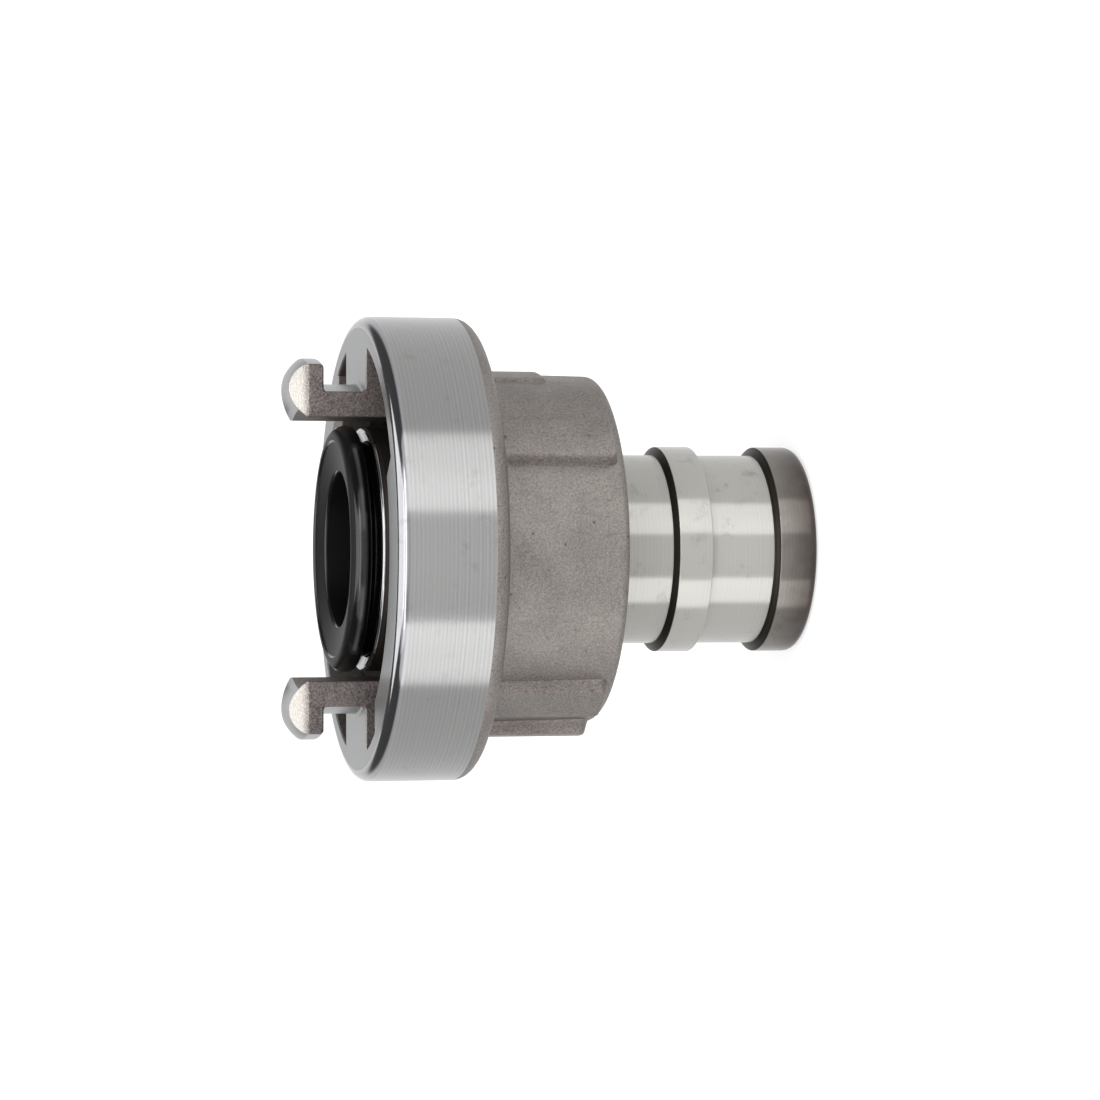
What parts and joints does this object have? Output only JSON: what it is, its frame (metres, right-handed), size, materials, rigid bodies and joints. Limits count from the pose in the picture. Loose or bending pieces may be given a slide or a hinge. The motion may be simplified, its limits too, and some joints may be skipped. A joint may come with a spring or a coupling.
{
  "type": "quarter turn fire hose coupling",
  "caption": "Aluminium hose coupling with hooked claws that lock under undercut rails, a swivelling claw ring, a lipped rubber seal and a ridged hose tail.",
  "frame": {"origin": "centre of the hose end of the tail, on the waterway axis", "axes": "+Z along the waterway towards the claws; the claws lie on +X and -X"},
  "size_m": [0.0546, 0.0546, 0.0616],
  "materials": {
    "forged_aluminium": "blasted with turned faces",
    "turned_aluminium": "turned",
    "seal_rubber": "smooth moulded",
    "spring_steel": "drawn wire"
  },
  "bodies": {
    "tail": {"hose_tail": "turned_aluminium", "seal": "seal_rubber"},
    "retainer": {"retaining_ring": "spring_steel"},
    "ring": {"claw_ring": "forged_aluminium"}
  },
  "joints": [
    {"name": "ring_float", "type": "slide", "parent": "tail", "child": "retainer", "axis": [0, 0, 1], "range_m": [0, 0.0024]},
    {"name": "ring_swivel", "type": "hinge", "parent": "retainer", "child": "ring", "pos_m": [0, 0, 0.0362], "axis": [0, 0, 1], "continuous": true}
  ]
}
